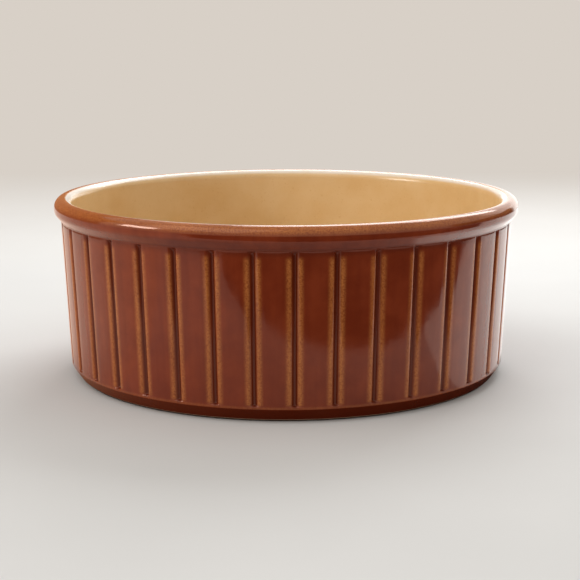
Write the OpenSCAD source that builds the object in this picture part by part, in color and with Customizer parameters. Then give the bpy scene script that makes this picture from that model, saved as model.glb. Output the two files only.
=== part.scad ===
// Round fluted stoneware casserole dish with a rolled rim.
// The section of the dish is revolved about Z and the flutes are cut along the leaning wall.
// Origin at the centre of the foot, on the table. The front is towards -Y. Millimetres.

/* [Overall size] */
// Diameter across the rolled rim
rim_d = 230; // [170:1:290]
// Height from the table to the top of the rim
dish_h = 88; // [66:1:130]

/* [Wall and floor] */
// Thickness of the wall
wall_t = 5.8; // [4.6:0.1:7.6]
// Lean of the wall from upright, in degrees
draft = 2.6; // [0.5:0.1:6]
// Thickness of the floor
floor_t = 6; // [4.5:0.1:9]
// Radius of the bend between the floor and the wall, inside the dish
bend_r = 12; // [8:0.5:20]

/* [Rolled rim] */
// Width across the top of the roll
rim_w = 8.7; // [8:0.1:11]
// Height of the upright face of the roll
rim_face = 1.4; // [0.5:0.1:5]
// Radius of the lower edge of the roll
rim_lower_r = 3; // [2:0.1:4]
// Slope of the underside of the roll, in degrees from level
rim_under = 45; // [30:1:60]
// Depth of the crease between the roll and the panels
crease_depth = 0.8; // [0.8:0.1:1.2]
// Radius in the bottom of the crease
crease_floor_r = 0.8; // [0.6:0.1:1.2]
// Radius of the top edge of the panels
crease_edge_r = 1.2; // [0.9:0.1:2]

/* [Flutes] */
// Number of flutes round the wall
flute_count = 36; // [16:1:44]
// Depth of a flute
flute_depth = 1.6; // [0.8:0.1:2]
// Radius in the bottom of a flute
flute_floor_r = 0.9; // [0.6:0.1:1.6]
// Radius of the long edges of the panels
flute_edge_r = 2.4; // [1:0.1:2.4]
// Width of the floor of the channel that each flute has in the clay
channel_floor_w = 1.4; // [1:0.1:2]
// Lean of the sides of that channel, in degrees
channel_lean = 35; // [30:1:40]
// Plain height between the lower ends of the flutes and the heel
flute_stop = 1; // [0.8:0.1:6]
// Slope of the lower ends of the flutes, in degrees from the wall's own line
run_out = 70; // [45:1:80]
// Turn of the flutes from the front, in degrees
flute_turn = 2.8; // [0:0.1:10]
// Unevenness of the spacing of the flutes, in degrees
flute_wander = 1.9; // [0:0.1:2]
// Number of times round the dish that the spacing tightens
wander_waves = 2; // [1:1:5]
// Place where the spacing tightens first, in degrees of one wave
wander_phase = 120; // [0:1:360]

/* [Heel and foot] */
// Height of the heel, where the panels end
heel_h = 6.4; // [5:0.1:12]
// Lean of the plain band under the heel, in degrees from upright
heel_lean = 34; // [15:1:45]
// Radius of the edge of the heel
heel_edge_r = 1; // [0.8:0.1:2]
// Radius of the outer edge of the foot ring
foot_edge_r = 0.6; // [0.4:0.1:1]
// Width of the flat that the foot ring stands on
foot_w = 6; // [4:0.1:12]
// Depth of the hollow inside the foot ring
hollow_h = 1.8; // [1:0.1:3]

/* [Glaze] */
// Thickness of the glaze
glaze_t = 0.4; // [0.3:0.05:0.5]
// Thickness of the glaze that pools in the bottom of a flute
pool_t = 0.5; // [0.3:0.05:0.7]
// Height of bare clay above the table
bare_h = 0.8; // [0.6:0.1:2]
// Place on the roll where the brown glaze meets the honey glaze, in degrees from its outer side
glaze_join = 108; // [95:1:150]

/* [Hidden] */
$fa = 1.5;
$fs = 0.3;

// Directions in the section, as [outwards, upwards]
level_out = [1, 0];
straight_down = [0, -1];
wall_up = [sin(draft), cos(draft)];
wall_out = [cos(draft), -sin(draft)];
under_out = [sin(rim_under), -cos(rim_under)];
heel_out = [cos(heel_lean), -sin(heel_lean)];
heel_down = [-sin(heel_lean), -cos(heel_lean)];
join_out = [cos(glaze_join), sin(glaze_join)];

// Half the width of a rounded notch whose floor arc runs into an edge arc
function notch_half(depth, floor_r, edge_r) =
    sqrt(2 * depth * (floor_r + edge_r) - depth * depth);

// Centre of an arc of radius r that rounds a corner between two faces
function corner_centre(corner, out_a, out_b, r) =
    corner - r * (out_a + out_b) / (1 + out_a * out_b);

// Rim: the roll is a crest arc over an upright face over a lower arc
crest_r = rim_w / 2;
crest = [rim_d / 2 - crest_r, dish_h - crest_r];
lip = [rim_d / 2 - rim_lower_r, crest.y - rim_face];

// Wall: its inner face touches the crest arc and its outer face is parallel
wall_inner = crest - crest_r * wall_out;
wall_outer = wall_inner + wall_t * wall_out;

// Crease: its floor arc touches the underside of the roll and the rounded top of the panels
crease_half = notch_half(crease_depth, crease_floor_r, crease_edge_r);
crease_line = wall_outer + (crease_floor_r - crease_depth) * wall_out;
crease_reach = rim_lower_r + crease_floor_r - (crease_line - lip) * under_out;
crease_up = crease_reach / (wall_up * under_out);
crease = crease_line + crease_up * wall_up;
shoulder = wall_outer + (crease_up - crease_half) * wall_up - crease_edge_r * wall_out;
shoulder_out = (crease - shoulder) / (crease_floor_r + crease_edge_r);

// Heel and foot: the band under the panels leans in to a rounded foot edge
heel_drop = (wall_outer.y - heel_h) / wall_up.y;
heel_corner = wall_outer - heel_drop * wall_up;
heel = corner_centre(heel_corner, wall_out, heel_out, heel_edge_r);
foot_coat_r = foot_edge_r + glaze_t;
foot_corner = heel_corner + (heel_h + glaze_t) / cos(heel_lean) * heel_down;
foot = corner_centre(foot_corner, heel_out, straight_down, foot_coat_r);
hollow_r = foot.x - foot_w;
hollow_top = hollow_h + glaze_t;

// Inside: the bend touches the floor and the inner face of the wall
floor_z = hollow_h + floor_t;
bend_z = floor_z + bend_r;
bend = [(wall_inner * wall_out - bend_r - bend_z * wall_out.y) / wall_out.x, bend_z];

// Line through the clay that parts the outer coat from the liner: from above the roll, through its
// crest and down the wall behind the flutes
join_far = crest + dish_h * join_out;
core = wall_inner + (wall_t - flute_depth) / 2 * wall_out;
core_heel = core + (heel_h - core.y) / wall_up.y * wall_up;
mid_floor = floor_z - floor_t / 2;

// Flutes, measured along the wall from the corner of the heel
flute_half = notch_half(flute_depth, flute_floor_r, flute_edge_r);
flute_top = heel_drop + crease_up;
end_slope = rim_under + draft;
clear_of_wall = 0.6;

// Flutes in the clay: splayed channels with crisp edges, which the glaze softens
channel_depth = flute_depth + pool_t;
channel_mouth_w = channel_floor_w + 2 * (channel_depth + clear_of_wall) * tan(channel_lean);

// Place where the wall inside the dish runs into the roll, with the surface sunk by a depth
function brim(sunk) = crest - (crest_r - sunk) * wall_out;

module disc(centre, r) {
    translate(centre)
        circle(r);
}

// Filled outline of the dish, with its surface sunk by a depth
module outline(sunk) {
    difference() {
        union() {
            polygon([
                [0, sunk - glaze_t],
                [foot.x, sunk - glaze_t],
                foot + (foot_coat_r - sunk) * heel_out,
                heel + (heel_edge_r - sunk) * heel_out,
                heel + (heel_edge_r - sunk) * wall_out,
                shoulder + (crease_edge_r - sunk) * wall_out,
                shoulder + (crease_edge_r - sunk) * shoulder_out,
                crease - (crease_floor_r + sunk) * under_out,
                lip + (rim_lower_r - sunk) * under_out,
                lip + (rim_lower_r - sunk) * level_out,
                crest + (crest_r - sunk) * level_out,
                crest,
                brim(sunk),
                [0, brim(sunk).y]
            ]);
            disc(foot, foot_coat_r - sunk);
            disc(heel, heel_edge_r - sunk);
            disc(shoulder, crease_edge_r - sunk);
            disc(lip, rim_lower_r - sunk);
            disc(crest, crest_r - sunk);
        }
        disc(crease, crease_floor_r + sunk);
    }
}

// Room inside the dish, with its surface sunk by a depth
module room(sunk) {
    polygon([
        [0, floor_z - sunk],
        [bend.x, floor_z - sunk],
        bend + (bend_r + sunk) * wall_out,
        brim(sunk),
        [0, brim(sunk).y]
    ]);
    disc(bend, bend_r + sunk);
}

// Section of the dish as it is seen, glaze and all
module glazed_section() {
    difference() {
        outline(0);
        room(0);
    }
}

// Section of the fired clay, one glaze thickness inside the seen surface
module clay_section() {
    difference() {
        outline(glaze_t);
        room(glaze_t);
        polygon([
            [0, -hollow_h],
            [hollow_r + hollow_h, -hollow_h],
            [hollow_r - hollow_top, hollow_top],
            [0, hollow_top]
        ]);
    }
}

// Cross-section of one flute: a round floor between two rounded panel edges
module flute_section() {
    floor_centre = [0, flute_floor_r - flute_depth];
    edge_centre = [flute_half, -flute_edge_r];
    towards_edge = (edge_centre - floor_centre) / (flute_floor_r + flute_edge_r);
    meet = floor_centre + flute_floor_r * towards_edge;
    difference() {
        polygon([
            [-flute_half, clear_of_wall],
            [-flute_half, 0],
            [-meet.x, meet.y],
            meet,
            [flute_half, 0],
            [flute_half, clear_of_wall]
        ]);
        for (side = [-1, 1])
            disc([side * edge_centre.x, edge_centre.y], flute_edge_r);
    }
    disc(floor_centre, flute_floor_r);
}

// Side view of one flute: it runs out above the heel and ends in the crease
module flute_length() {
    deep = flute_depth + wall_t;
    high = flute_top + crease_depth * tan(end_slope);
    polygon([
        [clear_of_wall, flute_stop - clear_of_wall / tan(run_out)],
        [clear_of_wall, high + clear_of_wall * tan(end_slope)],
        [-deep, high - deep * tan(end_slope)],
        [-deep, flute_stop + deep / tan(run_out)]
    ]);
}

module flute() {
    intersection() {
        linear_extrude(dish_h)
            flute_section();
        rotate([90, 0, 90])
            linear_extrude(rim_w, center = true)
                flute_length();
    }
}

// Channel in the clay behind one flute
module channel() {
    translate([0, 0, flute_stop - pool_t])
        linear_extrude(flute_top - flute_stop + 2 * pool_t)
            polygon([
                [-channel_mouth_w / 2, clear_of_wall],
                [-channel_floor_w / 2, -channel_depth],
                [channel_floor_w / 2, -channel_depth],
                [channel_mouth_w / 2, clear_of_wall]
            ]);
}

function flute_angle(i) =
    flute_turn
    + 360 * i / flute_count
    + flute_wander * cos(360 * wander_waves * i / flute_count + wander_phase);

// Copies of a cutter round the dish, each standing on the heel and leaning with the wall
module round_the_wall() {
    for (i = [0 : flute_count - 1])
        rotate(180 + flute_angle(i))
            translate([0, heel_corner.x, heel_corner.y])
                rotate([-draft, 0, 0])
                    children();
}

// Clay of a section, revolved and cut by the channels
module channelled() {
    difference() {
        rotate_extrude()
            children();
        round_the_wall()
            channel();
    }
}

module stoneware_body() {
    color("wheat")
        channelled()
            clay_section();
}

// Brown coat over the fluted wall and the outer side and top of the roll: the filled outline that
// is seen, from the bare foot to the join, less the filled outline of the clay
module outer_glaze() {
    color("saddlebrown")
        difference() {
            difference() {
                rotate_extrude()
                    intersection() {
                        outline(0);
                        polygon([
                            [0, bare_h],
                            [rim_d, bare_h],
                            [rim_d, join_far.y],
                            join_far,
                            crest,
                            [0, crest.y]
                        ]);
                    }
                round_the_wall()
                    flute();
            }
            channelled()
                outline(glaze_t);
        }
}

// Honey coat over the floor, the inner wall and the inner side of the roll
module liner_glaze() {
    color("burlywood")
        rotate_extrude()
            intersection() {
                difference() {
                    glazed_section();
                    clay_section();
                }
                polygon([
                    [0, mid_floor],
                    [core_heel.x, mid_floor],
                    core,
                    crest,
                    join_far,
                    [0, join_far.y]
                ]);
            }
}

// Brown coat in the hollow inside the foot ring
module underside_glaze() {
    color("sienna")
        rotate_extrude()
            polygon([
                [0, hollow_h],
                [hollow_r - hollow_h, hollow_h],
                [hollow_r - hollow_top, hollow_top],
                [0, hollow_top]
            ]);
}

stoneware_body();
outer_glaze();
liner_glaze();
underside_glaze();
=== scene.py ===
import math

import bpy
import numpy as np
from mathutils import Matrix, Vector


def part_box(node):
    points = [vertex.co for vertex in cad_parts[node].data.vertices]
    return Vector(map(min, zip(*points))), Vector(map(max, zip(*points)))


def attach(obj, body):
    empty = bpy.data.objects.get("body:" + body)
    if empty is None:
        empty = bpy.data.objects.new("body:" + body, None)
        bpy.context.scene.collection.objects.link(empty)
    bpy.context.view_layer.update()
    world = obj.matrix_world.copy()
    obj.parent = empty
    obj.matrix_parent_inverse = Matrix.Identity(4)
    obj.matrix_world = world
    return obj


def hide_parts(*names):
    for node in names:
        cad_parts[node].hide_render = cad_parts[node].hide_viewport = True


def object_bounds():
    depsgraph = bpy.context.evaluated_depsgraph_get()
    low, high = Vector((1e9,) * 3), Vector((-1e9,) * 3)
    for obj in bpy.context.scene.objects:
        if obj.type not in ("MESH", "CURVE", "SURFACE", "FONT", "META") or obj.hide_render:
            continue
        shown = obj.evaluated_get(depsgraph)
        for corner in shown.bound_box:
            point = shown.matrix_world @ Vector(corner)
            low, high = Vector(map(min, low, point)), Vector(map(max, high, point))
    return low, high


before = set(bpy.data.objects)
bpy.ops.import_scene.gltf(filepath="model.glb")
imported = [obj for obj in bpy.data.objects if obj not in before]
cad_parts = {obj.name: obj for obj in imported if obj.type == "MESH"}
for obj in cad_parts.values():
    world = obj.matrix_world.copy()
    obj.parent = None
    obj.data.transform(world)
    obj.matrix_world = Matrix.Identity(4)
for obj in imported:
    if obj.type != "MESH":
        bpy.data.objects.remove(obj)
cad_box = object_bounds()

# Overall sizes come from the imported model. Sizes of the section are in millimetres
MM = 0.001
RIM_R = min(cad_box[1].x, cad_box[1].y) / MM
DISH_H = cad_box[1].z / MM
JOIN_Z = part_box("liner_glaze")[1].z / MM

# Wall and floor, with angles in degrees
WALL_T = 5.8
DRAFT = 2.6
FLOOR_Z = 7.8
BEND_R = 12

# Rolled rim and the crease under it. The roll's face and underside differ a little from the packed
# solids, and the crease is shallower and rounder
CREST_R = 4.35
RIM_FACE = 1.3
RIM_LOWER_R = 3
RIM_UNDER = 40
CREASE_DEPTH = 0.15
CREASE_FLOOR_R = 1.0
CREASE_EDGE_R = 2.2

# Flutes, and how the glaze softens the panels between them
FLUTE_COUNT = 36
FLUTE_DEPTH = 1.6
FLUTE_FLOOR_R = 0.9
FLUTE_EDGE_R = 2.4
FLUTE_STOP = 1
FLUTE_TURN = 2.8
FLUTE_WANDER = 1.9
WANDER_WAVES = 2
WANDER_PHASE = 120
RUN_OUT = 70
RUN_OUT_BLEND = 0.6
CORNER_BLEND = 1.7
PANEL_CROWN = 0.1
CROWN_REACH = 3

# Heel, glaze and the edge of the coat, which is wiped off the foot a little higher than it is packed
HEEL_H = 6.4
HEEL_LEAN = 34
HEEL_EDGE_R = 1
GLAZE_T = 0.4
WIPED_H = 0.3
BARE_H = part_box("outer_glaze")[0].z / MM + WIPED_H

# Where the brown coat runs thin. Each pair is where a change starts and where it is complete:
# distances from the middle of a flute, from where it levels out, from its ends, tilts of the roll
EDGE_STARTS = (0.7, 2.1)
EDGE_ENDS = (-0.5, 1.7)
EDGE_LOW = (-0.2, 1.4)
EDGE_HIGH = (-4.6, -1.6)
CREST_THINS = (-8, 40)
HEEL_THINS = (0.4, 1.6)
SLIGHTLY_THIN = 0.35

# Where it pools in the floors of the flutes, and where painted shade darkens the panel tops at the crease,
# by the same measures
FLOOR_ENDS = (0.2, 1.5)
FLOOR_LOW = (-1.0, 0.2)
FLOOR_HIGH = (-2.2, 0.2)
CREASE_SHADE_SPAN = (-3.4, -0.6)
CREASE_SHADE = 0.6

# Turn of the roll, short of the join and past it, over which the brown thins to tan and the honey to cream
BROWN_JOIN = 14
HONEY_JOIN = (22, 48)

# Meshes: counts of rows, closer together near the ends of the panels, and of columns
BAND_ROWS = 6
HEEL_STEPS = 6
LOW_ROWS = 17
LOW_REACH = 3
MID_ROWS = 10
HIGH_ROWS = 13
HIGH_REACH = 6
SHOULDER_STEPS = 8
CREASE_STEPS = 10
UNDER_ROWS = 5
LIP_STEPS = 8
CREST_STEPS = 32
BRIM_STEPS = 16
INNER_ROWS = 13
BEND_STEPS = 20
FLOOR_ROWS = 25
FLOOR_SHARE = 0.98
LINER_COLUMNS = 256
GROOVE_COLUMNS = 5
EDGE_COLUMNS = 8
CROWN_COLUMNS = 6
BETWEEN_COLUMNS = 5
SHARP_ANGLE = 50

# Ranges of noise, whose values gather round 0.5: the middle of them, and nearly all
MIDDLE = (0.35, 0.65)
MOST = (0.3, 0.7)

# Cards that the glaze reflects, in metres: rings on the floor round the dish, and screens round it
FOOT_RING = (0.1, 0.113)
FOOT_LIFT = 0.0004
FLOOR_RING = (0.118, 0.9)
FLOOR_LIFT = 0.0003
SCREEN_R = 0.95
LOW_SCREEN = 0.3
HIGH_SCREEN = 0.8
CARD_COLUMNS = 41


def unit(angle):
    """Direction in the section at an angle from level, as [outwards, upwards]."""
    return np.array([math.cos(math.radians(angle)), math.sin(math.radians(angle))])


def angle_of(direction):
    return math.degrees(math.atan2(direction[1], direction[0]))


def tilt_of(out):
    """Angles of a profile's outward directions above level."""
    return np.degrees(np.arctan2(out[:, 1], out[:, 0]))


def notch_half(depth, floor_r, edge_r):
    """Half the width of a rounded notch whose floor arc runs into an edge arc."""
    return math.sqrt(2 * depth * (floor_r + edge_r) - depth**2)


def smoothstep(low, high, value):
    t = np.clip((np.asarray(value, float) - low) / (high - low), 0, 1)
    return t * t * (3 - 2 * t)


def smooth_max(a, b, width):
    near = np.clip(1 - np.abs(a - b) / width, 0, 1)
    return np.maximum(a, b) + near**2 * width / 4


# The section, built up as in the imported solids: crest, lip, wall, crease, shoulder, heel and bend
WALL_OUT = unit(-DRAFT)
WALL_UP = unit(90 - DRAFT)
UNDER_OUT = unit(-RIM_UNDER)
HEEL_OUT = unit(-HEEL_LEAN)
crest = np.array([RIM_R - CREST_R, DISH_H - CREST_R])
lip = np.array([RIM_R - RIM_LOWER_R, crest[1] - RIM_FACE])
wall_inner = crest - CREST_R * WALL_OUT
wall_outer = wall_inner + WALL_T * WALL_OUT
crease_half = notch_half(CREASE_DEPTH, CREASE_FLOOR_R, CREASE_EDGE_R)
crease_line = wall_outer + (CREASE_FLOOR_R - CREASE_DEPTH) * WALL_OUT
crease_reach = RIM_LOWER_R + CREASE_FLOOR_R - (crease_line - lip) @ UNDER_OUT
crease_up = crease_reach / (WALL_UP @ UNDER_OUT)
crease = crease_line + crease_up * WALL_UP
shoulder = wall_outer + (crease_up - crease_half) * WALL_UP - CREASE_EDGE_R * WALL_OUT
SHOULDER_OUT = (crease - shoulder) / (CREASE_FLOOR_R + CREASE_EDGE_R)
heel_corner = wall_outer - (wall_outer[1] - HEEL_H) / WALL_UP[1] * WALL_UP
heel = heel_corner - HEEL_EDGE_R * (WALL_OUT + HEEL_OUT) / (1 + WALL_OUT @ HEEL_OUT)
bend_z = FLOOR_Z + BEND_R
bend = np.array([(wall_inner @ WALL_OUT - BEND_R - bend_z * WALL_OUT[1]) / WALL_OUT[0], bend_z])
join_angle = 180 - math.degrees(math.asin((JOIN_Z - crest[1]) / CREST_R))

# Flutes, measured along the wall from the corner of the heel
flute_half = notch_half(FLUTE_DEPTH, FLUTE_FLOOR_R, FLUTE_EDGE_R)
flute_top = (crease - heel_corner) @ WALL_UP
end_slope = math.tan(math.radians(RIM_UNDER + DRAFT))
edge_sweep = math.acos((FLUTE_FLOOR_R + FLUTE_EDGE_R - FLUTE_DEPTH) / (FLUTE_FLOOR_R + FLUTE_EDGE_R))


def arc(centre, radius, start, end, steps):
    """Points and outward directions along an arc. A negative radius makes a hollow one."""
    out = np.array([unit(a) for a in np.linspace(start, end, steps + 1)])
    return centre + radius * out, out


def straight(start, end, out, fractions):
    """Points along a straight stretch, with the same outward direction for all."""
    points = np.array([start + f * (end - start) for f in fractions])
    return points, np.tile(out, (len(points), 1))


def joined(stretches):
    """One profile from named stretches that each begin where the last one ends."""
    points, outs, names = [], [], []
    for name, (here, out) in stretches.items():
        first = 1 if points else 0
        points.append(here[first:])
        outs.append(out[first:])
        names += [name] * (len(here) - first)
    return np.concatenate(points), np.concatenate(outs), np.array(names)


def coat_profile():
    """Seen face of the brown coat, from the bare foot over the rim to where the honey glaze starts."""
    heel_top = heel + HEEL_EDGE_R * WALL_OUT
    panel_top = shoulder + CREASE_EDGE_R * WALL_OUT
    band_top = heel + HEEL_EDGE_R * HEEL_OUT
    band_foot = band_top - (band_top[1] - BARE_H) / HEEL_OUT[0] * unit(90 - HEEL_LEAN)
    panel_length = np.linalg.norm(panel_top - heel_top)
    low_rows = np.linspace(0, LOW_REACH, LOW_ROWS) / panel_length
    high_rows = 1 - np.linspace(HIGH_REACH, 0, HIGH_ROWS) / panel_length
    mid_rows = np.linspace(low_rows[-1], high_rows[0], MID_ROWS)[1:-1]
    panel_rows = np.concatenate([low_rows, mid_rows, high_rows])
    return joined({
        "band": straight(band_foot, band_top, HEEL_OUT, np.linspace(0, 1, BAND_ROWS)),
        "heel": arc(heel, HEEL_EDGE_R, -HEEL_LEAN, -DRAFT, HEEL_STEPS),
        "panel": straight(heel_top, panel_top, WALL_OUT, panel_rows),
        "shoulder": arc(shoulder, CREASE_EDGE_R, -DRAFT, angle_of(SHOULDER_OUT), SHOULDER_STEPS),
        "crease": arc(crease, -CREASE_FLOOR_R, angle_of(SHOULDER_OUT), -RIM_UNDER, CREASE_STEPS),
        "under": straight(crease - CREASE_FLOOR_R * UNDER_OUT, lip + RIM_LOWER_R * UNDER_OUT, UNDER_OUT,
                          np.linspace(0, 1, UNDER_ROWS)),
        "lip": arc(lip, RIM_LOWER_R, -RIM_UNDER, 0, LIP_STEPS),
        "face": straight(lip + [RIM_LOWER_R, 0], crest + [CREST_R, 0], unit(0), [0, 1]),
        "crest": arc(crest, CREST_R, 0, join_angle, CREST_STEPS),
    })


def liner_profile():
    """Seen face of the honey coat, from where it meets the brown one down to the middle of the floor."""
    bend_top = bend + BEND_R * WALL_OUT
    return joined({
        "brim": arc(crest, CREST_R, join_angle, 180 - DRAFT, BRIM_STEPS),
        "wall": straight(wall_inner, bend_top, -WALL_OUT, np.linspace(0, 1, INNER_ROWS)),
        "bend": arc(bend, -BEND_R, 180 - DRAFT, 90, BEND_STEPS),
        "floor": straight(bend - [0, BEND_R], np.array([0, FLOOR_Z]), unit(90),
                          np.linspace(0, FLOOR_SHARE, FLOOR_ROWS)),
    })


def flute_angles():
    """Places of the flutes round the wall, from the front towards +X, in radians."""
    i = np.arange(FLUTE_COUNT)
    wave = np.cos(np.radians(360 * WANDER_WAVES * i / FLUTE_COUNT + WANDER_PHASE))
    return np.radians(FLUTE_TURN + 360 * i / FLUTE_COUNT + FLUTE_WANDER * wave)


def flute_level(across):
    """Level of the surface against the panels at a distance from the middle of a flute."""
    a = np.abs(across)
    meet = FLUTE_FLOOR_R * math.sin(edge_sweep)
    floor = FLUTE_FLOOR_R - FLUTE_DEPTH - np.sqrt(np.clip(FLUTE_FLOOR_R**2 - a**2, 0, None))
    edge = np.sqrt(np.clip(FLUTE_EDGE_R**2 - (flute_half - a) ** 2, 0, None)) - FLUTE_EDGE_R
    level = np.where(a < meet, floor, np.where(a < flute_half, edge, 0))
    return level - PANEL_CROWN * (1 - smoothstep(flute_half, flute_half + CROWN_REACH, a))


def flute_cut(across, along):
    """Depth of the flute, which runs out above the heel and ends in the crease."""
    run_out = -(along - FLUTE_STOP) * math.tan(math.radians(RUN_OUT))
    top = (along - flute_top) / end_slope - CREASE_DEPTH
    level = smooth_max(flute_level(across), run_out, RUN_OUT_BLEND)
    return np.clip(-np.maximum(level, top), 0, None)


def flute_columns(radii):
    """Angle of each mesh column at each row, and its distance from the middle of its flute."""
    floor_steps = FLUTE_FLOOR_R * np.sin(np.linspace(0, edge_sweep, GROOVE_COLUMNS))
    edge_steps = flute_half - FLUTE_EDGE_R * np.sin(np.linspace(edge_sweep, 0, EDGE_COLUMNS))
    panel_steps = flute_half + CROWN_REACH * np.linspace(0, 1, CROWN_COLUMNS)[1:]
    side = np.concatenate([floor_steps, edge_steps[1:], panel_steps])
    across = np.concatenate([-side[:0:-1], side])
    shares = np.linspace(0, 1, BETWEEN_COLUMNS)[1:-1]
    angles = flute_angles()
    theta, distance = [], []
    for here, after in zip(angles, np.append(angles[1:], angles[0] + 2 * math.pi)):
        for u in across:
            theta.append(here + u / radii)
            distance.append(u)
        start = here + side[-1] / radii
        end = after - side[-1] / radii
        for share in shares:
            theta.append(start + share * (end - start))
            distance.append(side[-1])
    return np.array(theta).T, np.array(distance)


def revolved(points, theta):
    """Points of the section at angles round Z, in metres. The front is towards -Y."""
    x = points[..., 0] * np.sin(theta)
    y = -points[..., 0] * np.cos(theta)
    z = np.broadcast_to(points[..., 1], x.shape)
    return np.stack([x, y, z], axis=-1) * MM


def shell(name, seen, hidden, pole=None):
    """Closed mesh between a seen and a hidden grid of points. A pole for each closes the last rows."""
    rows, columns = seen.shape[:2]
    index = np.arange(rows * columns).reshape(rows, columns)
    right = np.roll(index, -1, axis=1)

    def quads(a, b, c, d):
        return np.stack([a, b, c, d], axis=-1).reshape(-1, 4).tolist()

    back = rows * columns
    faces = quads(index[:-1], right[:-1], right[1:], index[1:])
    faces += quads(index[1:] + back, right[1:] + back, right[:-1] + back, index[:-1] + back)
    faces += quads(index[0] + back, right[0] + back, right[0], index[0])
    vertices = np.concatenate([seen.reshape(-1, 3), hidden.reshape(-1, 3)])
    if pole is None:
        faces += quads(index[-1], right[-1], right[-1] + back, index[-1] + back)
    else:
        top, under = len(vertices), len(vertices) + 1
        vertices = np.concatenate([vertices, np.array(pole)])
        faces += [[int(a), int(b), top] for a, b in zip(index[-1], right[-1])]
        faces += [[int(b) + back, int(a) + back, under] for a, b in zip(index[-1], right[-1])]
    mesh = bpy.data.meshes.new(name)
    mesh.from_pydata(vertices.tolist(), [], faces)
    mesh.polygons.foreach_set("use_smooth", np.ones(len(mesh.polygons), bool))
    mesh.set_sharp_from_angle(angle=math.radians(SHARP_ANGLE))
    piece = bpy.data.objects.new(name, mesh)
    bpy.context.scene.collection.objects.link(piece)
    return piece


def paint(piece, name, values):
    """A named number on each point of a piece, for its material. Both faces of a shell get the same."""
    attribute = piece.data.attributes.new(name, "FLOAT", "POINT")
    flat = np.tile(values.ravel(), 2)
    padded = np.concatenate([flat, np.zeros(len(piece.data.vertices) - len(flat))])
    attribute.data.foreach_set("value", padded.astype(np.float32))


def thin_places(out, zone, along, across):
    """Where the brown coat runs thin: the long panel edges, the crest of the roll and the heel."""
    far = np.abs(across)
    edge = smoothstep(*EDGE_STARTS, far) * (1 - smoothstep(*EDGE_ENDS, far - flute_half))
    on_panel = smoothstep(*EDGE_LOW, along - FLUTE_STOP) * (1 - smoothstep(*EDGE_HIGH, along - flute_top))
    tilt = tilt_of(out)
    on_crest = np.where(zone == "crest", smoothstep(*CREST_THINS, tilt), 0)
    on_heel = np.where(zone == "heel", SLIGHTLY_THIN * smoothstep(-HEEL_LEAN, -DRAFT, tilt), 0)
    on_heel = np.where(zone == "panel", SLIGHTLY_THIN * (1 - smoothstep(*HEEL_THINS, along)), on_heel)
    along_rows = np.maximum(on_crest, on_heel)
    return np.maximum(edge[None, :] * on_panel[:, None], along_rows[:, None])


def pooled_and_shaded_places(zone, along, across):
    """Where the brown coat pools in the floors of the flutes, and painted shade in the crease and on the
    band under the heel.
    """
    groove = 1 - smoothstep(*FLOOR_ENDS, np.abs(across))
    on_panel = smoothstep(*FLOOR_LOW, along - FLUTE_STOP) * (1 - smoothstep(*FLOOR_HIGH, along - flute_top))
    below_roll = np.isin(zone, ["panel", "shoulder", "crease"])
    # Painted shade on the panel tops just under the roll, where the crease is shadowed
    crease_shade = np.where(below_roll, CREASE_SHADE * smoothstep(*CREASE_SHADE_SPAN, along - flute_top), 0)
    # Painted shade on the band under the heel, which faces down towards the floor
    band_shade = np.where(zone == "band", 1, 0)
    along_rows = np.maximum(crease_shade, band_shade)
    return np.maximum(groove[None, :] * on_panel[:, None], along_rows[:, None])


def brown_coat():
    """The fluted brown coat, with the places where it runs thin, pools, meets the honey glaze, and is
    darkened with painted shade.
    """
    points, out, zone = coat_profile()
    along = (points - heel_corner) @ WALL_UP
    sunk = np.clip((heel_corner - points) @ WALL_OUT, 0, None)[:, None]
    theta, across = flute_columns(points[:, 0])
    cut = flute_cut(across[None, :], along[:, None])
    depth = (sunk**CORNER_BLEND + cut**CORNER_BLEND) ** (1 / CORNER_BLEND)
    seen = points[:, None, :] - (depth - sunk)[..., None] * WALL_OUT
    hidden = seen - GLAZE_T * out[:, None, :]
    piece = shell("brown_glaze_coat", revolved(seen, theta), revolved(hidden, theta))
    join = np.where(zone == "crest", smoothstep(join_angle - BROWN_JOIN, join_angle, tilt_of(out)), 0)
    paint(piece, "thin", thin_places(out, zone, along, across))
    paint(piece, "pool_and_shade", pooled_and_shaded_places(zone, along, across))
    paint(piece, "join", np.repeat(join[:, None], len(across), axis=1))
    return piece


def honey_liner():
    """The smooth honey coat inside the dish, which runs thin where it meets the brown one on the roll."""
    points, out, zone = liner_profile()
    turned = -np.tile(np.linspace(0, 2 * math.pi, LINER_COLUMNS, endpoint=False), (len(points), 1))
    seen = revolved(points[:, None, :], turned)
    hidden = revolved((points - GLAZE_T * out)[:, None, :], turned)
    middle = [[0, 0, FLOOR_Z * MM], [0, 0, (FLOOR_Z - GLAZE_T) * MM]]
    piece = shell("honey_glaze_liner", seen, hidden, pole=middle)
    join = np.where(zone == "brim", 1 - smoothstep(*HONEY_JOIN, tilt_of(out) - join_angle), 0)
    paint(piece, "join", np.repeat(join[:, None], LINER_COLUMNS, axis=1))
    return piece


def srgb(red, green, blue):
    """A colour as it looks on a screen, in 0 to 255, as the linear colour that a shader takes."""
    levels = np.array([red, green, blue]) / 255
    linear = np.where(levels <= 0.04045, levels / 12.92, ((levels + 0.055) / 1.055) ** 2.4)
    return (*linear, 1)


# Colours of the two coats where they thin out at their join
TAN = srgb(204, 142, 88)
CREAM = srgb(220, 211, 199)


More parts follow.
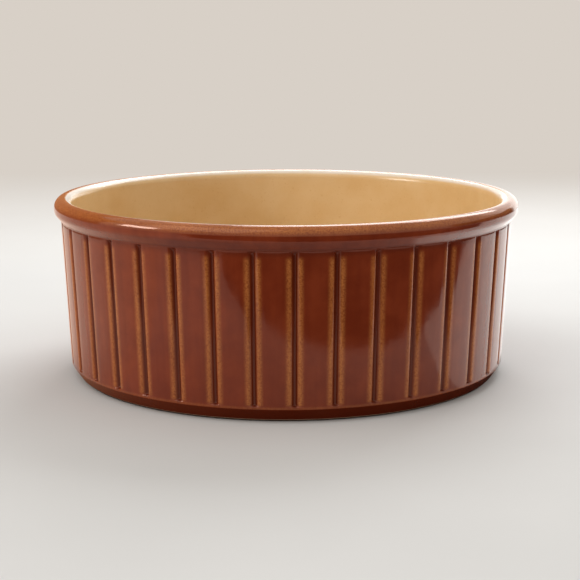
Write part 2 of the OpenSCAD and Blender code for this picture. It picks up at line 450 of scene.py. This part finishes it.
class Shader:
    """A node material in the making: each call adds a node and returns its result."""

    def __init__(self, name):
        self.material = bpy.data.materials.new(name)
        self.material.use_nodes = True
        self.tree = self.material.node_tree
        self.surface = self.tree.nodes["Principled BSDF"]
        self.place = self.tree.nodes.new("ShaderNodeTexCoord").outputs["Object"]

    def set(self, socket, value):
        """Sets one of the surface's sockets to a constant, or links a node's result to it."""
        self.put(self.surface.inputs[socket], value)

    def put(self, socket, value):
        if isinstance(value, bpy.types.NodeSocket):
            self.tree.links.new(value, socket)
        else:
            socket.default_value = value

    def attribute(self, name):
        node = self.tree.nodes.new("ShaderNodeAttribute")
        node.attribute_name = name
        return node.outputs["Fac"]

    def along(self, axis):
        node = self.tree.nodes.new("ShaderNodeSeparateXYZ")
        self.tree.links.new(self.place, node.inputs["Vector"])
        return node.outputs[axis]

    def stretched(self, scale):
        node = self.tree.nodes.new("ShaderNodeMapping")
        node.inputs["Scale"].default_value = scale
        self.tree.links.new(self.place, node.inputs["Vector"])
        return node.outputs["Vector"]

    def noise(self, scale, detail=3.0, roughness=0.5, place=None):
        node = self.tree.nodes.new("ShaderNodeTexNoise")
        self.tree.links.new(place or self.place, node.inputs["Vector"])
        node.inputs["Scale"].default_value = scale
        node.inputs["Detail"].default_value = detail
        node.inputs["Roughness"].default_value = roughness
        return node.outputs["Fac"]

    def spread(self, value, low, high, to_low=0.0, to_high=1.0):
        """A value from low to high, brought to the range from to_low to to_high."""
        node = self.tree.nodes.new("ShaderNodeMapRange")
        for socket, given in zip(node.inputs, (value, low, high, to_low, to_high)):
            self.put(socket, given)
        return node.outputs["Result"]

    def math(self, operation, a, b):
        node = self.tree.nodes.new("ShaderNodeMath")
        node.operation = operation
        node.use_clamp = True
        self.put(node.inputs[0], a)
        self.put(node.inputs[1], b)
        return node.outputs["Value"]

    def mix(self, factor, a, b):
        node = self.tree.nodes.new("ShaderNodeMix")
        node.data_type = "RGBA"
        self.put(node.inputs["Factor"], factor)
        colours = [s for s in node.inputs if s.type == "RGBA"]
        self.put(colours[0], a)
        self.put(colours[1], b)
        return next(s for s in node.outputs if s.type == "RGBA")

    def bump(self, height, distance, strength=1.0, under=None):
        node = self.tree.nodes.new("ShaderNodeBump")
        node.inputs["Distance"].default_value = distance
        node.inputs["Strength"].default_value = strength
        self.tree.links.new(height, node.inputs["Height"])
        if under:
            self.tree.links.new(under, node.inputs["Normal"])
        return node.outputs["Normal"]


def brown_glaze():
    """Glossy reddish brown glaze that breaks to amber where it is thin, and darkens where it pools and with
    painted shade.
    """
    deep_brown, light_brown, run_brown = srgb(103, 36, 14), srgb(119, 46, 20), srgb(93, 30, 11)
    amber, pool_and_shade_brown = srgb(172, 104, 52), srgb(84, 24, 4)
    warm_shine = (1.0, 0.7, 0.6, 1)
    s = Shader("brown_glaze")
    clouds = s.noise(scale=70, detail=4, roughness=0.55)
    patches = s.noise(scale=28)
    runs = s.noise(scale=1, place=s.stretched((260, 260, 22)))
    grain = s.noise(scale=1500, detail=2, roughness=0.6)
    pool_and_shade = s.attribute("pool_and_shade")
    brown = s.mix(s.spread(clouds, *MIDDLE), deep_brown, light_brown)
    brown = s.mix(s.spread(runs, 0.45, 0.75, to_high=0.5), brown, run_brown)
    broken = s.math("MULTIPLY", s.attribute("thin"), s.spread(grain, 0.35, 0.62, to_low=0.35))
    broken = s.math("MULTIPLY", broken, s.spread(patches, *MIDDLE, to_low=0.65))
    colour = s.mix(broken, brown, amber)
    # Darker where the glaze pools in the flutes, and painted shade in the crease and on the heel band
    colour = s.mix(s.spread(pool_and_shade, 0, 1, to_high=0.9), colour, pool_and_shade_brown)
    waves = s.spread(s.noise(scale=180, detail=2), *MOST, to_low=0.7, to_high=1.2)
    s.set("Base Color", s.mix(s.math("MULTIPLY", s.attribute("join"), waves), colour, TAN))
    gloss = s.spread(clouds, *MOST, to_low=0.08, to_high=0.14)
    s.set("Roughness", s.math("ADD", gloss, s.spread(pool_and_shade, 0, 1, to_high=0.12)))
    s.set("IOR", 1.56)
    s.set("Specular Tint", warm_shine)
    ripples = s.bump(s.noise(scale=120, detail=2), distance=0.3 * MM, strength=0.2)
    s.set("Normal", s.bump(grain, distance=0.012 * MM, strength=0.6, under=ripples))
    return s.material


def honey_glaze():
    """Glossy honey glaze with soft clouds and fine specks, which turns to cream at its join."""
    deep_honey, light_honey, speck = srgb(208, 173, 121), srgb(214, 183, 135), srgb(186, 138, 78)
    s = Shader("honey_glaze")
    clouds = s.noise(scale=45, detail=4, roughness=0.55)
    specks = s.noise(scale=900, detail=2)
    honey = s.mix(s.spread(clouds, *MIDDLE), deep_honey, light_honey)
    honey = s.mix(s.spread(specks, 0.62, 0.75, to_high=0.35), honey, speck)
    waves = s.spread(s.noise(scale=160, detail=2), *MOST, to_low=0.8, to_high=1.1)
    s.set("Base Color", s.mix(s.math("MULTIPLY", s.attribute("join"), waves), honey, CREAM))
    s.set("Roughness", s.spread(clouds, *MOST, to_low=0.14, to_high=0.22))
    s.set("IOR", 1.5)
    ripples = s.bump(s.noise(scale=110, detail=2), distance=0.3 * MM, strength=0.25)
    s.set("Normal", s.bump(specks, distance=0.01 * MM, strength=0.5, under=ripples))
    return s.material


def fired_clay():
    """Bare buff stoneware with dark specks, and painted contact shade along the bottom, where it stands."""
    deep_buff, light_buff = srgb(190, 148, 120), srgb(206, 170, 140)
    speck, contact_shade = srgb(128, 94, 64), srgb(62, 40, 30)
    contact_shade_ends, clay_starts = 0.5 * MM, 1.0 * MM
    s = Shader("fired_clay")
    clouds = s.noise(scale=160, detail=4, roughness=0.6)
    specks = s.noise(scale=1400, roughness=0.6)
    clay = s.mix(s.spread(clouds, *MOST), deep_buff, light_buff)
    clay = s.mix(s.spread(specks, 0.6, 0.72, to_high=0.6), clay, speck)
    # Painted contact shade: dark over the lowest half millimetre, fading into the clay by one millimetre
    s.set("Base Color", s.mix(s.spread(s.along("Z"), contact_shade_ends, clay_starts), contact_shade, clay))
    s.set("Roughness", s.spread(clouds, *MOST, to_low=0.7, to_high=0.85))
    s.set("Normal", s.bump(specks, distance=0.08 * MM, strength=0.6))
    return s.material


def pale_floor():
    """Matt pale floor, whose far end the camera and the glaze see as evenly lit."""
    grey, light_grey, far_colour = srgb(215, 216, 216), srgb(220, 221, 221), srgb(216, 208, 199)
    near_end, far_end = 0.25, 0.9
    s = Shader("pale_floor")
    clouds = s.noise(scale=6)
    s.set("Base Color", s.mix(s.spread(clouds, *MOST), grey, light_grey))
    s.set("Roughness", 0.6)
    s.set("Specular IOR Level", 0.0)
    nodes, links = s.tree.nodes, s.tree.links
    even = nodes.new("ShaderNodeEmission")
    even.inputs["Color"].default_value = far_colour
    far = s.spread(s.along("Y"), near_end, far_end)
    path = nodes.new("ShaderNodeLightPath").outputs
    looked_at = s.math("ADD", path["Is Camera Ray"], path["Is Glossy Ray"])
    looked_at = s.math("ADD", looked_at, path["Is Transmission Ray"])
    blend = nodes.new("ShaderNodeMixShader")
    links.new(s.math("MULTIPLY", far, looked_at), blend.inputs["Fac"])
    links.new(s.surface.outputs["BSDF"], blend.inputs[1])
    links.new(even.outputs["Emission"], blend.inputs[2])
    links.new(blend.outputs["Shader"], nodes["Material Output"].inputs["Surface"])
    return s.material


def lamp(name, azimuth, elevation, distance, size, radiance, colour, lit=None):
    """A soft light that faces the dish, where lit is given for that alone. Azimuth 0 is behind, 90 at +X."""
    data = bpy.data.lights.new(name, "AREA")
    data.shape = "RECTANGLE"
    data.size, data.size_y = size
    data.energy = radiance * math.pi * size[0] * size[1]
    data.color = colour
    light = bpy.data.objects.new(name, data)
    bpy.context.scene.collection.objects.link(light)
    target = Vector((0, 0, DISH_H * MM))
    turn = Matrix.Rotation(-math.radians(azimuth), 3, "Z") @ Matrix.Rotation(math.radians(elevation), 3, "X")
    light.location = target + distance * (turn @ Vector((0, 1, 0)))
    light.rotation_euler = (target - light.location).to_track_quat("-Z", "Y").to_euler()
    light.light_linking.receiver_collection = lit


def sheet(name, vertices, faces, material):
    """A flat or curved piece of the stage."""
    mesh = bpy.data.meshes.new(name)
    mesh.from_pydata(vertices, [], faces)
    mesh.polygons.foreach_set("use_smooth", np.ones(len(faces), bool))
    mesh.materials.append(material)
    piece = bpy.data.objects.new(name, mesh)
    bpy.context.scene.collection.objects.link(piece)
    return piece


def sweep():
    """Pale floor that curves up into a backdrop behind the dish."""
    front, back, half_width, height, radius = -3.0, 2.2, 4.0, 2.0, 0.5
    below_dish = 0.1 * MM
    bend_columns = 17
    turn = np.linspace(0, math.pi / 2, bend_columns)
    ys = np.concatenate([[front], back - radius + radius * np.sin(turn), [back]])
    zs = np.concatenate([[0], radius - radius * np.cos(turn), [height]]) - below_dish
    vertices = [(x, y, z) for y, z in zip(ys, zs) for x in (-half_width, half_width)]
    faces = [(2 * i, 2 * i + 1, 2 * i + 3, 2 * i + 2) for i in range(len(ys) - 1)]
    sheet("floor", vertices, faces, pale_floor())


def card(name, vertices, faces, colour, glow=0.0, to_left=None):
    """A studio card that only the shine of the glaze shows, as a painted reflection that glows where glow is
    given. It may turn to another colour on the left.
    """
    turn_starts, turn_ends = -0.1, 0
    s = Shader(name)
    to_right = s.spread(s.along("X"), turn_starts, turn_ends)
    s.set("Base Color", s.mix(to_right, to_left or colour, colour))
    s.set("Emission Color", colour)
    s.set("Emission Strength", glow)
    s.set("Roughness", 1.0)
    piece = sheet(name, vertices, faces, s.material)
    piece.visible_camera = False
    piece.visible_diffuse = False
    piece.visible_transmission = False
    piece.visible_shadow = False


def front_shade():
    """Shade in front of a slanting line on the floor."""
    middle, slant, half_width, depth, lift = -0.23, 0.508, 0.8, 1.5, 0.0005
    ends = (-half_width, half_width)
    vertices = [(x, middle + slant * x, lift) for x in ends]
    vertices += [(x, middle + slant * x - depth, lift) for x in reversed(ends)]
    card("front_shade", vertices, [(0, 3, 2, 1)], srgb(52, 44, 40))


def round_card(name, azimuths, inner, outer, colour, glow=0.0, to_left=None):
    """Card round part of the dish, between two azimuths and two places that are [radius, height]."""
    turn = np.radians(np.linspace(*azimuths, CARD_COLUMNS))
    vertices = [(r * math.sin(a), r * math.cos(a), z) for a in turn for r, z in (inner, outer)]
    faces = [(2 * i, 2 * i + 1, 2 * i + 3, 2 * i + 2) for i in range(CARD_COLUMNS - 1)]
    card(name, vertices, faces, colour, glow, to_left)


def floor_card(name, azimuths, ring, lift, colour, glow=0.0, to_left=None):
    """Card that lies on the floor round part of the dish, between the two radii of a ring."""
    inner, outer = ring
    round_card(name, azimuths, (inner, lift), (outer, lift), colour, glow, to_left)


def screen(name, azimuths, height, colour, glow=0.0):
    """Card that stands round part of the dish."""
    round_card(name, azimuths, (SCREEN_R, 0), (SCREEN_R, height), colour, glow)


def cards():
    """Painted reflections for the glaze: shade at the front and foot, and cards on the floor and round the
    dish, some of them glowing.
    """
    front_shade()
    # Painted reflection of shade under the heel, lighter towards the lit left
    floor_card("foot_shade", (60, 300), FOOT_RING, FOOT_LIFT, srgb(60, 46, 38), to_left=srgb(205, 150, 118))
    floor_card("left_floor_card", (235, 335), FLOOR_RING, FLOOR_LIFT, srgb(232, 204, 188), glow=0.12)
    floor_card("right_floor_card", (25, 125), FLOOR_RING, FLOOR_LIFT, srgb(250, 248, 246), glow=0.42)
    screen("left_card", (-12, -85), HIGH_SCREEN, srgb(190, 130, 90))
    screen("back_card", (0, 40), LOW_SCREEN, srgb(250, 246, 242), glow=1.0)
    screen("right_card", (42, 100), LOW_SCREEN, srgb(120, 90, 70))


def lamps(dish):
    """A bright and a broad light behind, a fill at the front left and one at the left for the dish alone."""
    white, soft, warm = (1.0, 1.0, 1.0), (1.0, 0.95, 0.9), (1.0, 0.93, 0.86)
    lamp("window", azimuth=20, elevation=41, distance=0.85, size=(0.64, 0.46), radiance=4.8, colour=white)
    lamp("wall", azimuth=10, elevation=25, distance=1.0, size=(1.9, 0.5), radiance=0.7, colour=white)
    lamp("fill", azimuth=230, elevation=50, distance=1.3, size=(1.2, 1.0), radiance=1.0, colour=soft)
    lamp("side", azimuth=255, elevation=22, distance=1.3, size=(0.42, 0.34), radiance=13, colour=warm,
         lit=dish)


def room_light():
    """Even warm light from all round."""
    world = bpy.data.worlds.new("world")
    bpy.context.scene.world = world
    world.use_nodes = True
    background = world.node_tree.nodes["Background"].inputs
    background["Color"].default_value = (1.0, 0.95, 0.89, 1)
    background["Strength"].default_value = 0.72


def camera():
    """The photograph's view, for an image 580 pixels wide."""
    image_width = 580
    focal_length = 1400
    sensor = 36
    place = (0, -0.6977, 0.1749)
    pitch, yaw, roll = map(math.radians, (11.06, 0.15, 0.11))
    data = bpy.data.cameras.new("camera")
    data.sensor_width = sensor
    data.lens = focal_length / image_width * sensor
    view = bpy.data.objects.new("camera", data)
    bpy.context.scene.collection.objects.link(view)
    turn = Matrix.Rotation(-yaw, 4, "Z") @ Matrix.Rotation(math.pi / 2 - pitch, 4, "X")
    view.matrix_world = Matrix.Translation(place) @ turn @ Matrix.Rotation(-roll, 4, "Z")
    bpy.context.scene.camera = view


brown = brown_glaze()
coat = brown_coat()
coat.data.materials.append(brown)
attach(coat, "root")
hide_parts("outer_glaze")

liner = honey_liner()
liner.data.materials.append(honey_glaze())
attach(liner, "root")
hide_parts("liner_glaze")

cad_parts["stoneware_body"].data.materials[0] = fired_clay()
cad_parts["underside_glaze"].data.materials[0] = brown

sweep()
cards()
dish = bpy.data.collections.new("dish")
for piece in (coat, liner, *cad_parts.values()):
    dish.objects.link(piece)
lamps(dish)
room_light()
bpy.context.scene.view_settings.view_transform = "Standard"
camera()
